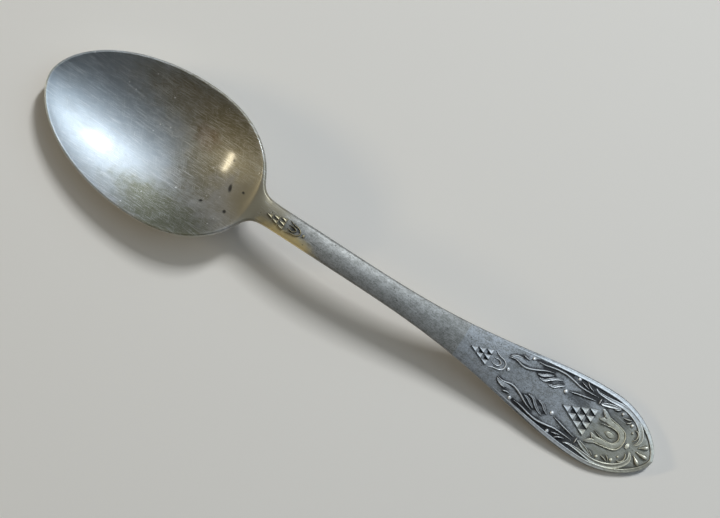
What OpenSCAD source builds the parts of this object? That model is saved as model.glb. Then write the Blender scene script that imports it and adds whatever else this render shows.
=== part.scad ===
// Teaspoon with a struck relief on its handle, lying on its bowl and on the foot of its handle.
// X runs along the spoon, from the bowl's tip to the handle's tip, and Y runs across it.
// The table is at Z = 0, and the origin is under the middle of the spoon.
//
// Two height functions describe the whole blank: top_z() and under_z() at a station s, which is
// the distance from the bowl's tip, and a distance y from the axis. Each part of the blank is the
// stretch between two stations, so neighbours meet face to face. The relief stands on top_z().

/* [Overall] */
// Length from the bowl's tip to the handle's tip
length = 140; // [118:1:170]
// Height of the handle's arch above the table, on its top face
crest_h = 13; // [10:0.1:16]

/* [Bowl] */
// Length of the bowl, from its tip to where its curve closes at the throat
bowl_l = 47.6; // [39:0.1:58]
// Greatest width of the bowl
bowl_w = 29.8; // [24:0.1:36]
// Distance from the bowl's tip to its widest and deepest place
bowl_wide = 27.3; // [22:0.1:33]
// Height of the rim above the table at the widest place
rim_h = 7.9; // [6.2:0.1:10]
// Height of the rim above the table at the bowl's tip
tip_h = 6.3; // [5:0.1:8]
// Thickness of the metal at the bottom of the bowl
wall = 1.1; // [0.8:0.05:1.5]
// Width of the flat on top of the rim
rim_w = 0.7; // [0.5:0.05:1]
// Height of the rim's upright outer edge
rim_edge = 0.55; // [0.4:0.05:0.8]
// Depth of the flat that years of use have worn under the bowl
wear = 0.15; // [0.12:0.01:0.25]

/* [Handle] */
// Width of the stem at its narrowest
stem_w = 4.9; // [4:0.1:6]
// Thickness of the metal at the throat
neck_t = 3; // [2.4:0.1:3.6]
// Thickness of the stem where it is narrowest
stem_t = 2.6; // [2.1:0.1:3.2]
// Thickness of the handle's end
end_t = 1.9; // [1.5:0.1:2.4]
// Greatest width of the handle's end
end_w = 15.4; // [12.8:0.1:18.5]
// Distance from the handle's tip back to its widest place
end_wide = 13.2; // [11:0.1:16]
// How much the handle's tip curls up past the foot that it rests on
tip_curl = 0.3; // [0.1:0.05:0.6]

/* [Relief] */
// Depth of the sunk ground round the large ornament
ground_d = 0.4; // [0.2:0.05:0.6]
// Height of the relief above the ground it stands on
relief_h = 0.5; // [0.3:0.05:0.8]
// Width of the border along the edge of the handle's end
border_w = 0.7; // [0.4:0.05:0.9]
// How deep the relief is bedded in the blank
bed = 0.05; // [0.02:0.01:0.1]

/* [Hidden] */

// Stations of the seams between the blank's parts
throat_s = bowl_l + 1.4;
neck_end_s = throat_s + 12;
end_start_s = length - 45;

// Stations where the handle changes
crest_s = bowl_l + 17;
narrow_s = bowl_l + 19.4;
wide_s = length - end_wide;
foot_s = length - 5;
ground_start_s = length - 36;
ground_full_s = length - 28;

// Shape of the throat's fillets
flare = 1.6;
flare_l = 1.1;

// How far the top's edges lie below its middle, and how high the blank's side edges are
stem_crown = 0.5;
end_crown = 0.25;
stem_edge = 1.1;
end_edge = 0.8;

// The smallest half width that an end of the blank closes on
blunt = 0.4;

// How full the outlines are: the bowl before and past its widest place, the way the handle
// widens, and the handle's tip
bowl_tip_power = 0.55;
bowl_heel_power = 2.3;
widening_power = 1.55;
handle_tip_power = 0.62;
// How full the handle's rounded underside is
under_power = 0.7;

// How steeply the rim climbs at the bowl's tip and at its widest place
tip_slope = 0.02;
wide_slope = 0.085;

// The widths that the ornaments' points are drawn on; an ornament spreads with its ground
drawn_end_w = 15.4;
drawn_stem_w = 4.9;

// The bowl is as deep as lets its lowest place touch the table, less the worn flat
wall_curve = 0.9;
outer_depth = wear + min([for (s = [bowl_wide / 2:0.5:bowl_wide])
    (spine(s) - rim_edge) / along(s, bowl_wide, bowl_l - bowl_wide)]);
inner_depth = outer_depth + rim_edge - wall;

// --- helpers ---

function mix(a, b, k) = a + (b - a) * k;
function clamp01(k) = min(1, max(0, k));
function ease(k) = let (c = clamp01(k)) c * c * (3 - 2 * c);
function soft_max(a, b) = pow(pow(a, 3) + pow(b, 3), 1 / 3);

// Cubic from height z0 with slope m0 to height z1 with slope m1 over a length d
function cubic(z0, m0, z1, m1, d, u) =
    z0 * (1 - 3 * u * u + 2 * u * u * u) + z1 * (3 * u * u - 2 * u * u * u)
    + m0 * d * (u - 2 * u * u + u * u * u) + m1 * d * (u * u * u - u * u);

// --- the blank's plan ---

// Half width of an egg with its own half length on each side of its widest place
function egg(s, tip_a, heel_a, b) =
    let (u = s < bowl_wide ? (bowl_wide - s) / tip_a : (s - bowl_wide) / heel_a)
    u >= 1 ? 0 : s < bowl_wide ? b * pow(1 - u * u, bowl_tip_power)
    : b * sqrt(1 - pow(u, bowl_heel_power));

function bowl_hw(s) = egg(s, bowl_wide, bowl_l - bowl_wide, bowl_w / 2);
function hollow_hw(s) =
    egg(s, bowl_wide - rim_w, bowl_l - bowl_wide - rim_w, bowl_w / 2 - rim_w);

function handle_hw(s) =
    s < bowl_l ? stem_w / 2 + flare
    : s < narrow_s ? stem_w / 2 + flare * exp((bowl_l - s) / flare_l)
    : s < wide_s ?
        let (u = (s - narrow_s) / (wide_s - narrow_s))
        mix(stem_w, end_w, (1 - cos(180 * pow(u, widening_power))) / 2) / 2
    : tip_hw(s, 0);

// Half width past the widest place of the handle's end, a given distance inside its outline
function tip_hw(s, inset) =
    (end_w / 2 - inset)
    * pow(max(0, 1 - pow((s - wide_s) / (end_wide - inset), 2)), handle_tip_power);

function half_w(s) =
    let (b = bowl_hw(s))
    s > bowl_l ? max(blunt, handle_hw(s))
    : s < bowl_wide ? max(blunt, b)
    : soft_max(b, handle_hw(s) * ease((s - bowl_wide) / (bowl_l - bowl_wide)));

// --- the blank's heights ---

// Height of the rim and of the handle's top face on the axis
function spine(s) =
    s < bowl_wide ?
        cubic(tip_h, tip_slope, rim_h, wide_slope, bowl_wide, s / bowl_wide)
    : s < crest_s ?
        cubic(rim_h, wide_slope, crest_h, 0, crest_s - bowl_wide,
            (s - bowl_wide) / (crest_s - bowl_wide))
    : s < foot_s ?
        cubic(crest_h, 0, end_t, 0, foot_s - crest_s, (s - crest_s) / (foot_s - crest_s))
    : end_t + tip_curl * pow((s - foot_s) / (length - foot_s), 2);

// Share of the bowl's depth at a station, and at a share v of the way to the rim
function along(s, tip_a, heel_a) =
    let (u = s < bowl_wide ? (bowl_wide - s) / tip_a : (s - bowl_wide) / heel_a)
    u >= 1 ? 0 : pow(1 - u * u, wall_curve);
function across(v) = abs(v) >= 1 ? 0 : pow(1 - v * v, wall_curve);

function hollow(s, y) =
    let (hw = hollow_hw(s))
    hw <= 0 ? 0
    : inner_depth * along(s, bowl_wide - rim_w, bowl_l - bowl_wide - rim_w) * across(y / hw);

function crown(s) =
    s < ground_start_s ? stem_crown * ease((s - bowl_l + 1) / 4)
    : mix(stem_crown, end_crown, ease((s - ground_start_s) / 8));
function ground(s) = ground_d * ease((s - ground_start_s) / (ground_full_s - ground_start_s));
function edge(s) =
    s < throat_s ? mix(rim_edge, stem_edge, ease((s - bowl_wide) / (throat_s - bowl_wide)))
    : mix(stem_edge, end_edge, ease((s - crest_s) / (end_start_s - crest_s)));
function thick(s) =
    s < bowl_l ? neck_t * ease((s - bowl_l + 12) / 12)
    : s < crest_s ? mix(neck_t, stem_t, ease((s - bowl_l) / (crest_s - bowl_l)))
    : mix(stem_t, end_t, ease((s - crest_s) / (end_start_s - crest_s)));

function top_z(s, y) =
    spine(s) - hollow(s, y) - crown(s) * pow(y / half_w(s), 2) - ground(s);

function under_z(s, y) =
    let (side = crown(s) + edge(s),
         b = max(0, outer_depth * along(s, bowl_wide, bowl_l - bowl_wide) * across(y / half_w(s))),
         v = y / max(blunt, handle_hw(s)),
         h = max(0, thick(s) - side) * pow(max(0, 1 - v * v), under_power))
    max(0, spine(s) - side - soft_max(b, h));

// --- solids of the blank ---

// Distances from the axis of the columns of points at a station; 2 * n + 1 of them
function columns(s, n) =
    let (hw = half_w(s), inner = max(hollow_hw(s), 0.6 * hw))
    [for (j = [-n:n]) abs(j) == n ? sign(j) * hw : inner * j / (n - 1)];

function ring(s, n) =
    let (ys = columns(s, n))
    concat([for (y = ys) [s - length / 2, y, top_z(s, y)]],
           [for (k = [2 * n:-1:0]) [s - length / 2, ys[k], under_z(s, ys[k])]]);

// The blank between its first and last station, with n columns on each side of the axis
module blank(stations, n) {
    m = 4 * n + 2;
    last = len(stations) - 1;
    polyhedron(
        points = [for (s = stations) each ring(s, n)],
        faces = concat(
            [for (i = [0:last - 1], k = [0:m - 1])
                let (a = i * m + k, b = i * m + (k + 1) % m)
                each [[a, b, a + m], [b, b + m, a + m]]],
            [for (k = [0:2 * n - 1]) each [[k, m - 1 - k, k + 1], [k + 1, m - 1 - k, m - 2 - k]]],
            [for (k = [0:2 * n - 1])
                let (o = last * m)
                each [[o + k, o + k + 1, o + m - 1 - k], [o + k + 1, o + m - 2 - k, o + m - 1 - k]]]),
        convexity = 6);
}

function even(from, to, n) = [for (i = [0:n]) mix(from, to, i / n)];
function crowded_ends(from, to, n) = [for (i = [0:n]) mix(from, to, (1 - cos(180 * i / n)) / 2)];
function crowded_end(from, to, n) = [for (i = [0:n]) mix(from, to, sin(90 * i / n))];

module bowl() color("#8b8a80") blank(crowded_ends(0, throat_s, 38), 8);
module neck() color("#8f8b82") blank(even(throat_s, neck_end_s, 10), 5);
module stem() color("#85878a") blank(even(neck_end_s, end_start_s, 14), 5);
module handle_end() color("#77797c") blank(crowded_end(end_start_s, length, 32), 6);

// --- solids of the relief ---

// Smooth curve through hand-placed points, with n steps between two of them
function between(a, b, c, d, u) =
    0.5 * (2 * b + (c - a) * u + (2 * a - 5 * b + 4 * c - d) * u * u
    + (3 * b - a - 3 * c + d) * u * u * u);
function smooth(pts, n = 4) =
    let (last = len(pts) - 1)
    [for (i = [0:last - 1], k = [0:n - (i < last - 1 ? 1 : 0)])
        between(pts[max(0, i - 1)], pts[i], pts[i + 1], pts[min(last, i + 2)], k / n)];

// Share of the full width at a share u of the way, widest at the place called fat
function swell(u, fat) = max(0.3, pow(sin(180 * pow(u, ln(0.5) / ln(fat))), 0.6));

// One raised line of the relief. Its path is a list of [station, distance from the axis].
module ridge(path, w, h = relief_h, fat = 0.5, even_width = false) {
    last = len(path) - 1;
    polyhedron(
        points = [for (i = [0:last])
            let (way = path[min(last, i + 1)] - path[max(0, i - 1)],
                 side = [-way[1], way[0]] / norm(way),
                 k = even_width ? 1 : swell(i / last, fat))
            each [for (c = [[-0.5, 0], [-0.3, 0.75], [0, 1], [0.3, 0.75], [0.5, 0]])
                let (p = path[i] + side * c[0] * w * k)
                [p[0] - length / 2, p[1],
                 top_z(p[0], p[1]) + (c[1] == 0 ? -bed : c[1] * h * (0.4 + 0.6 * k))]]],
        faces = concat(
            [for (i = [0:last - 1], k = [0:4])
                let (a = i * 5 + k, b = i * 5 + (k + 1) % 5)
                each [[a, a + 5, b], [b, a + 5, b + 5]]],
            [for (k = [1:3]) [0, k, k + 1]],
            [for (k = [1:3]) [last * 5, last * 5 + k + 1, last * 5 + k]]),
        convexity = 4);
}

// Path points given from the handle's tip, turned into stations
end_spread = end_w / drawn_end_w;
function from_tip(pts) = [for (p = pts) [length - p[0], p[1] * end_spread]];
function mirrored(pts) = concat(pts, [for (i = [len(pts) - 2:-1:0]) [pts[i][0], -pts[i][1]]]);

module end_ridge(pts, w, fat = 0.5, h = relief_h) ridge(smooth(from_tip(pts)), w, h, fat);

// A round boss of radius r on the ground at a station, leaning with the ground
module bead(s, y, r) {
    slope = atan2(top_z(s + 0.5, y) - top_z(s - 0.5, y), 1);
    height = relief_h + bed;
    translate([s - length / 2, y, top_z(s, y) - bed])
        rotate([0, -slope, 0])
            rotate_extrude($fn = 24)
                polygon(concat([[0, 0]], [for (a = [0:15:90]) [r * cos(a), height * sin(a)]]));
}

// A small pyramid with its point towards the bowl: three corners on the ground and a raised heel
module spike(s, y, l, w) {
    corners = [[s - l, y], [s, y - w / 2], [s, y + w / 2]];
    heel = [s - l * 0.3, y];
    polyhedron(
        points = concat(
            [for (c = corners) [c[0] - length / 2, c[1], top_z(c[0], c[1]) - bed]],
            [[heel[0] - length / 2, heel[1], top_z(heel[0], heel[1]) + relief_h]]),
        faces = [[0, 2, 1], [0, 1, 3], [1, 2, 3], [2, 0, 3]]);
}

// Rows of spikes that grow by one, from a single spike whose point is at station s
module spikes(s, rows, l, w, pitch_s, pitch_y)
    for (row = [0:rows - 1], i = [0:row])
        spike(s + l + row * pitch_s, (i - row / 2) * pitch_y, l, w);

// --- the small motif, on the neck and on the shoulder ---

neck_motif_s = throat_s + 1.6;
neck_motif_k = [0.94, 0.72 * stem_w / drawn_stem_w];
shoulder_motif_s = length - 43;
shoulder_motif_k = [1, stem_w / drawn_stem_w];

function placed(pts, s, k) = [for (p = pts) [s + p[0] * k[0], p[1] * k[1]]];

module motif_pyramid(s, k) spikes(s, 3, 1.3 * k[0], 1.05 * k[1], 1.5 * k[0], 1.15 * k[1]);
module motif_tulip(s, k) {
    ridge(smooth(placed(mirrored([[4.8, 1.75], [6, 1.3], [7.2, 1.05], [7.9, 0.5], [8, 0]]), s, k)),
        0.5 * k[1]);
    ridge(smooth(placed(mirrored([[5.1, 0.5], [6.4, 0.6], [7, 0]]), s, k)), 0.35 * k[1]);
}
module motif_bead(s, k) bead(s + 8.8 * k[0], 0, 0.42 * k[1]);

module neck_pyramid() color("#a89c86") motif_pyramid(neck_motif_s, neck_motif_k);
module neck_tulip() color("#a89c86") motif_tulip(neck_motif_s, neck_motif_k);
module neck_bead() color("#a89c86") motif_bead(neck_motif_s, neck_motif_k);
module shoulder_pyramid() color("#9aa0a8") motif_pyramid(shoulder_motif_s, shoulder_motif_k);
module shoulder_tulip() color("#9aa0a8") motif_tulip(shoulder_motif_s, shoulder_motif_k);
module shoulder_bead() color("#9aa0a8") motif_bead(shoulder_motif_s, shoulder_motif_k);

// --- the large ornament, in distances from the handle's tip ---

border_start_s = length - 33;

// The border runs up one edge of the handle's end, round its tip and back down the other
module border_rim() {
    inset = border_w / 2 + 0.1;
    side = [for (s = crowded_end(border_start_s, length - inset, 28))
        [s, s < wide_s ? handle_hw(s) - inset : tip_hw(s, inset)]];
    color("#b4b8bd") ridge(mirrored(side), border_w, ground_d + 0.1, even_width = true);
}

module end_pyramid() color("#a3a6a2") spikes(length - 21.3, 4, 1.55, 1.2 * end_spread,
    1.67, 1.55 * end_spread);

// The tulip is a band round its heart, and each end of the band flares into two points
module end_tulip() color("#a8adb3") {
    end_ridge(mirrored([[13.5, 3.7], [12.2, 3], [9.4, 2.5], [7.5, 1.8], [6.9, 0]]), 0.6);
    for (side = [-1, 1])
        end_ridge([[13.1, side * 3.2], [12.9, side * 2.5], [13.2, side * 1.9]], 0.35);
}

module tulip_heart() color("#a8adb3") {
    end_ridge(mirrored([[13.3, 0.8], [12.2, 1.15], [10.2, 1.45], [8.7, 1.15], [8.1, 0]]), 0.45);
    end_ridge([[11, 0], [9.9, 0], [8.9, 0]], 1.1, 0.6);
}

module tie_block() color("#b0b3b5") end_ridge([[6, -0.55], [6, 0], [6, 0.55]], 0.9);

// A hook that curls inwards, and the body that swings out round it and runs up along the border
module scroll() {
    end_ridge([[6.3, 3.45], [5.6, 3.4], [5.15, 2.8], [5.15, 2], [5.6, 1.3]], 0.4, 0.4);
    end_ridge([[5, 0.75], [4.4, 1.6], [4.4, 2.7], [5.4, 4.15], [7.3, 5.4], [10.2, 6.1],
        [14, 5.85], [16.2, 5.85], [17.1, 6.25]], 0.9, 0.35);
}
module scroll_left() color("#a8adb3") scroll();
module scroll_right() color("#a8adb3") mirror([0, 1, 0]) scroll();

module spray() {
    // two long stems and the tie that binds them
    end_ridge([[35.5, 2.1], [34, 2.45], [32.2, 2.1], [30.9, 2.25], [29.5, 2.8], [27.6, 3.75],
        [25.9, 4.3]], 0.5);
    end_ridge([[30, 4.5], [28.4, 4.6], [26.2, 5.1], [24, 5.35], [21.7, 5.1], [19.7, 4.8],
        [15.8, 5]], 0.55);
    end_ridge([[15.2, 3.8], [15.2, 4.5], [15.2, 5.2]], 0.45);
    // leaves beside the first stem
    end_ridge([[35, 2.8], [34, 3.2], [32.8, 3.4]], 0.65);
    end_ridge([[33, 4], [32.1, 3.8], [31.3, 3.8]], 0.45);
    end_ridge([[28.8, 2.45], [27.8, 2.65], [26.8, 3.25], [25.7, 3.8]], 0.45);
    end_ridge([[28.2, 1.85], [26.9, 2.05], [26, 2.8], [24.8, 3.6], [23.4, 4.1]], 0.5);
    end_ridge([[26, 1.75], [24.7, 2], [23.8, 2.7], [22.6, 3.4]], 0.5);
    // the stalk of the large bead
    end_ridge([[21.5, 2.9], [18.8, 3.55], [15.8, 4.2]], 0.45);
    // leaves beside the second stem
    end_ridge([[19.3, 6.5], [18.6, 5.85], [17.3, 5.45]], 0.4);
    end_ridge([[20.3, 5.75], [19.4, 5.55], [18.4, 5.3]], 0.3);
    // a broad leaf past the tie, and the two feathers beyond it
    end_ridge([[14.9, 4.2], [13.2, 4.8], [11.8, 5.25], [10.7, 5.5]], 0.8, 0.4);
    end_ridge([[9.5, 4.3], [8.6, 4.45], [7.8, 4.75]], 0.35);
}
module spray_left() color("#9ea4ab") spray();
module spray_right() color("#9ea4ab") mirror([0, 1, 0]) spray();

// Beads: at the root of the second stem, on the stalk, outside the stems, and beside the scroll
module beads() {
    for (b = [[30.9, 4.5, 0.42], [22.1, 2.5, 0.5], [21, 6, 0.4], [10, 4.9, 0.36],
              [7.2, 3.95, 0.42], [6.4, 2.75, 0.25]])
        bead(length - b[0], b[1] * end_spread, b[2]);
}
module beads_left() color("#b0b3b5") beads();
module beads_right() color("#b0b3b5") mirror([0, 1, 0]) beads();

module tip_drops() color("#b0b3b5") {
    end_ridge([[3.4, 0], [2.4, 0], [1.4, 0]], 0.9, 0.65);
    for (side = [-1, 1])
        end_ridge([[3.7, side * 0.8], [2.9, side * 1.4], [2.2, side * 1.9]], 0.85, 0.65);
}

bowl();
neck();
stem();
handle_end();
border_rim();
neck_pyramid();
neck_tulip();
neck_bead();
shoulder_pyramid();
shoulder_tulip();
shoulder_bead();
end_pyramid();
end_tulip();
tulip_heart();
tie_block();
scroll_left();
scroll_right();
spray_left();
spray_right();
beads_left();
beads_right();
tip_drops();
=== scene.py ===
# %% [markdown]
# # A souvenir teaspoon with a struck handle
# The real spoon is one strip of silver-plated metal. A press strikes the bowl hollow and the
# ornament up out of the handle at the same blow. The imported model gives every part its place
# and its size. This script gives each part a fine skin in the same place, and then its finish.

# %% The frame
import math

import bmesh
import bpy
import numpy as np
from mathutils import Matrix, Vector


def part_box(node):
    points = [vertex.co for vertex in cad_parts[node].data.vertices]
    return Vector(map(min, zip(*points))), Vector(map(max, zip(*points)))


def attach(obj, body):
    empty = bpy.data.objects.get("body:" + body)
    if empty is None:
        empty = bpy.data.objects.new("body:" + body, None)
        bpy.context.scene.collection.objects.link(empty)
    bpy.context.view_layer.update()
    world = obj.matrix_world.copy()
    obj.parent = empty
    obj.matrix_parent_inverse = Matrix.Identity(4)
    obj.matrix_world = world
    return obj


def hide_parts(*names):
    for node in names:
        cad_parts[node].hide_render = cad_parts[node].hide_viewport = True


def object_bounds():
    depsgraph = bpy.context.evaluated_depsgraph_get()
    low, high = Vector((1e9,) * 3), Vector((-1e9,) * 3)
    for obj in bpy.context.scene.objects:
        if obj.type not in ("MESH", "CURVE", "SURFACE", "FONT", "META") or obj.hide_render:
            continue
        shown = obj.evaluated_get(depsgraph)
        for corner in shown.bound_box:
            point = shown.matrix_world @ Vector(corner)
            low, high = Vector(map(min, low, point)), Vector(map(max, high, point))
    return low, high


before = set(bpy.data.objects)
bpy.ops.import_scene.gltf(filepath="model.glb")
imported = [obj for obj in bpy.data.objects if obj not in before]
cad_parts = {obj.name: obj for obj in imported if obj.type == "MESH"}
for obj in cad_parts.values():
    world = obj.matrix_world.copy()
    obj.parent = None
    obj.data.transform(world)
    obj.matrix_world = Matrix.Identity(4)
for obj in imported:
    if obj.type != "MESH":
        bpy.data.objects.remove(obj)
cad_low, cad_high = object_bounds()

MM = 0.001
scene = bpy.context.scene
print("nodes", len(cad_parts), "box in mm", [round(v / MM, 2) for v in cad_high - cad_low])

# %% [markdown]
# ## Camera, table and light
# The spoon is seen from straight above, turned so that its handle points down to the right.
# A polished bowl shows its surroundings more than its own colour, so the five lamps are placed
# by what the bowl should mirror. A narrow key lamp makes the bright core near the tip. A cool
# window and a cool sky behind it spread the halo round that core. A small warm lamp makes the
# glint at the heel, and a weak brown one stands for a wooden wall. The rest of the room is dark.

# %% Camera
VIEW_AZIMUTH = math.radians(33)
VIEW_ELEVATION = math.radians(89.5)
VIEW_DISTANCE = 300 * MM
LENS = 77.25
aim = Vector(((cad_low.x + cad_high.x) / 2, 0, 0)) + Vector((0.12, 2.26, 5)) * MM


def direction(azimuth, elevation):
    """Unit vector towards a compass angle from +X and a height above the table, in degrees."""
    a, e = math.radians(azimuth), math.radians(elevation)
    return Vector((math.cos(a) * math.cos(e), math.sin(a) * math.cos(e), math.sin(e)))


def turned_to(right, up, back):
    return Matrix((right, up, back)).transposed().to_euler()


back = Vector((
    math.sin(VIEW_AZIMUTH) * math.cos(VIEW_ELEVATION),
    -math.cos(VIEW_AZIMUTH) * math.cos(VIEW_ELEVATION),
    math.sin(VIEW_ELEVATION),
))
right = Vector((math.cos(VIEW_AZIMUTH), math.sin(VIEW_AZIMUTH), 0))
camera = bpy.data.objects.new("camera", bpy.data.cameras.new("camera"))
camera.data.lens = LENS
camera.data.clip_start = 0.01
camera.location = aim + back * VIEW_DISTANCE
camera.rotation_euler = turned_to(right, back.cross(right), back)
scene.collection.objects.link(camera)
scene.camera = camera
print("camera at", [round(v, 3) for v in camera.location])

# %% Lamps
LAMP_DISTANCE = 0.9


def lamp(name, azimuth, elevation, size, watts, colour, roll=0):
    """A soft rectangular lamp that faces the middle of the spoon."""
    data = bpy.data.lights.new(name, "AREA")
    data.shape = "RECTANGLE"
    data.size, data.size_y = size
    data.energy = watts
    data.color = colour
    made = bpy.data.objects.new(name, data)
    towards = direction(azimuth, elevation)
    made.location = aim + towards * LAMP_DISTANCE
    made.rotation_euler = towards.to_track_quat("Z", "Y").to_euler()
    made.rotation_euler.rotate_axis("Z", math.radians(roll))
    scene.collection.objects.link(made)


lamp("key", 86, 49, (0.06, 0.2), 4.7, (0.91, 0.96, 1.0))
lamp("window", 57, 50, (0.8, 0.7), 1.35, (0.62, 0.81, 0.97))
lamp("sky", 45, 64, (1.2, 1.2), 1.5, (0.74, 0.87, 1.0))
lamp("warm_lamp", -161, 23, (0.26, 0.045), 1.6, (1.0, 0.88, 0.62), roll=-18)
lamp("wooden_wall", -125, 24, (0.9, 0.5), 0.16, (1.0, 0.62, 0.26))

world = bpy.data.worlds.new("room")
world.use_nodes = True
room = world.node_tree.nodes["Background"]
room.inputs["Color"].default_value = (0.028, 0.027, 0.025, 1)
room.inputs["Strength"].default_value = 1.0
scene.world = world
scene.view_settings.view_transform = "Standard"

# %% [markdown]
# ## Writing shader maths
# A finish is a network of small nodes. Two helpers keep that readable: `Wire` lets an
# expression such as `1 - mask` add its own Math node, and `Finish.node` makes any other node.

# %% Shader helpers
class Wire:
    """A value in a finish; arithmetic on it adds Math nodes."""

    def __init__(self, finish, socket):
        self.finish = finish
        self.socket = socket

    def maths(self, operation, *values):
        return self.finish.node("ShaderNodeMath", {"operation": operation}, dict(enumerate(values)))

    def __add__(self, other):
        return self.maths("ADD", self, other)

    def __sub__(self, other):
        return self.maths("SUBTRACT", self, other)

    def __rsub__(self, other):
        return self.maths("SUBTRACT", other, self)

    def __mul__(self, other):
        return self.maths("MULTIPLY", self, other)

    __radd__ = __add__
    __rmul__ = __mul__

    def above(self, low, high):
        """0 under low, 1 over high, and a smooth step between."""
        return self.finish.node(
            "ShaderNodeMapRange",
            {"interpolation_type": "SMOOTHSTEP"},
            {"Value": self, "From Min": low, "From Max": high},
        )

    def clamped(self):
        return self.finish.node("ShaderNodeClamp", {}, {"Value": self})


class Finish:
    """A material under construction."""

    def __init__(self, name):
        self.material = bpy.data.materials.new(name)
        self.material.use_nodes = True
        self.tree = self.material.node_tree
        self.surface = self.tree.nodes["Principled BSDF"]
        place = self.tree.nodes.new("ShaderNodeTexCoord")
        self.place = Wire(self, place.outputs["Object"])

    def node(self, kind, settings, values, out=0):
        made = self.tree.nodes.new(kind)
        for key, value in settings.items():
            setattr(made, key, value)
        for key, value in values.items():
            self.fill(self.find(made.inputs, key), value)
        return Wire(self, self.find(made.outputs, out))

    def find(self, sockets, key):
        if isinstance(key, int):
            return sockets[key]
        return next((s for s in sockets if s.identifier == key), None) or sockets[key]

    def fill(self, socket, value):
        if isinstance(value, Wire):
            self.tree.links.new(value.socket, socket)
        else:
            socket.default_value = value

    def colour(self, base, *coats):
        """A base colour under coats of other colours, each with its share."""
        for colour, share in coats:
            base = self.node(
                "ShaderNodeMix",
                {"data_type": "RGBA"},
                {"Factor_Float": share, "A_Color": base, "B_Color": colour},
                out="Result_Color",
            )
        return base

    def bumps(self, *layers):
        """One normal from several heights, each with its depth in millimetres."""
        values = {}
        for height, depth in layers:
            values.update(Height=height, Distance=depth * MM, Strength=1.0)
            values["Normal"] = self.node("ShaderNodeBump", {}, values)
        return values["Normal"]

    def vectors(self, operation, a, b=(0, 0, 0), out=0):
        return self.node("ShaderNodeVectorMath", {"operation": operation}, {0: a, 1: b}, out)

    def turned(self, place, turn, shift=(0, 0, 0)):
        """A place turned about the vertical, then shifted."""
        values = {"Vector": place, "Rotation": (0, 0, math.radians(turn)), "Location": shift}
        return self.node("ShaderNodeMapping", {"vector_type": "POINT"}, values)

    def stretched(self, size, turn=0.0, shift=(0, 0, 0)):
        """Object coordinates counted in steps of a size, after a turn about the vertical."""
        steps = tuple(v * MM for v in size)
        return self.vectors("DIVIDE", self.turned(self.place, turn, shift), steps)

    def noise(self, size, turn=0.0, detail=2.0, shift=(0, 0, 0), roughness=0.5):
        return self.node(
            "ShaderNodeTexNoise",
            {},
            {
                "Vector": self.stretched(size, turn, shift),
                "Scale": 1.0,
                "Detail": detail,
                "Roughness": roughness,
            },
        )

    def patch(self, station, across, radii, turn=0.0, wander=0.35):
        """A soft-edged stain round a place on the spoon: 1 in its middle, 0 outside its radii."""
        centre = (-(station - length / 2) * MM, -across * MM, 0)
        turned = self.turned(self.vectors("ADD", self.place, centre), turn)
        shrunk = self.vectors("DIVIDE", turned, (radii[0] * MM, radii[1] * MM, 1))
        away = self.vectors("LENGTH", shrunk, out="Value")
        ragged = away + (self.noise((2.2, 2.2, 2.2), shift=(station, across, 0)) - 0.5) * 2 * wander
        return 1 - ragged.above(0.35, 1.0)

    def attribute(self, name):
        return self.node("ShaderNodeAttribute", {"attribute_name": name}, {}, out="Fac")

    def wear(self, values):
        for key, value in values.items():
            self.fill(self.surface.inputs[key], value)


# %% [markdown]
# ## The table
# A plain pale floor keeps the eye on the spoon and still catches its shadow.

# %% Table
def pale_floor():
    size = 3.0
    mesh = bpy.data.meshes.new("table")
    corners = [(-size, -size, 0), (size, -size, 0), (size, size, 0), (-size, size, 0)]
    mesh.from_pydata(corners, [], [(0, 1, 2, 3)])
    finish = Finish("pale_table")
    finish.wear({"Base Color": (0.84, 0.79, 0.73, 1), "Roughness": 0.8})
    mesh.materials.append(finish.material)
    made = bpy.data.objects.new("table", mesh)
    scene.collection.objects.link(made)


pale_floor()

# %% [markdown]
# ## Sizes of the spoon
# The seams between bowl, neck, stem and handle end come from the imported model's boxes. The
# rest are the same few driving sizes that the model is drawn from, in millimetres. A station
# `s` is the distance from the bowl's tip, and `y` is the distance from the axis.

# %% Sizes
def box_mm(node):
    low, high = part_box(node)
    return Vector(low) / MM, Vector(high) / MM


length = (cad_high.x - cad_low.x) / MM
throat_s = box_mm("bowl")[1].x + length / 2
neck_end_s = box_mm("neck")[1].x + length / 2
end_start_s = box_mm("stem")[1].x + length / 2
bowl_w = box_mm("bowl")[1].y - box_mm("bowl")[0].y
end_w = box_mm("handle_end")[1].y - box_mm("handle_end")[0].y

bowl_l = throat_s - 1.4
bowl_wide = 27.3
rim_h, tip_h, crest_h = 7.9, 6.3, 13.0
wall, rim_w, rim_edge, wear = 1.1, 0.42, 0.55, 0.15
stem_w, neck_t, stem_t, end_t = 4.9, 3.0, 2.6, 1.9
end_wide, tip_curl = 13.2, 0.3
ground_d, relief_h, bed = 0.4, 0.5, 0.05
margin_w, margin_drop = 2.0, 0.28

crest_s = bowl_l + 17
narrow_s = bowl_l + 19.4
wide_s = length - end_wide
foot_s = length - 5
ground_start_s = length - 36
ground_full_s = length - 28
flare, flare_l = 1.6, 1.1
stem_crown, end_crown = 0.5, 0.25
stem_edge, end_edge = 1.1, 0.8
tip_slope, wide_slope = 0.02, 0.085
rim_soft, heel_soft = 0.12, 1.1
print("seams at", round(throat_s, 2), round(neck_end_s, 2), round(end_start_s, 2), "of", round(length, 2))

# %% [markdown]
# ## One height field for the whole strip
# Two functions say how high the metal's top and its underside are at any station and any
# distance from the axis. Every part of the strip is a stretch of the same two surfaces, so
# neighbours meet without a step and the reflections run on across the seams.

# %% Shape of the strip
def mix(a, b, k):
    return a + (b - a) * k


def ease(k):
    k = np.clip(k, 0, 1)
    return k * k * (3 - 2 * k)


def soft_max(a, b):
    return np.cbrt(a**3 + b**3)


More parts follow.
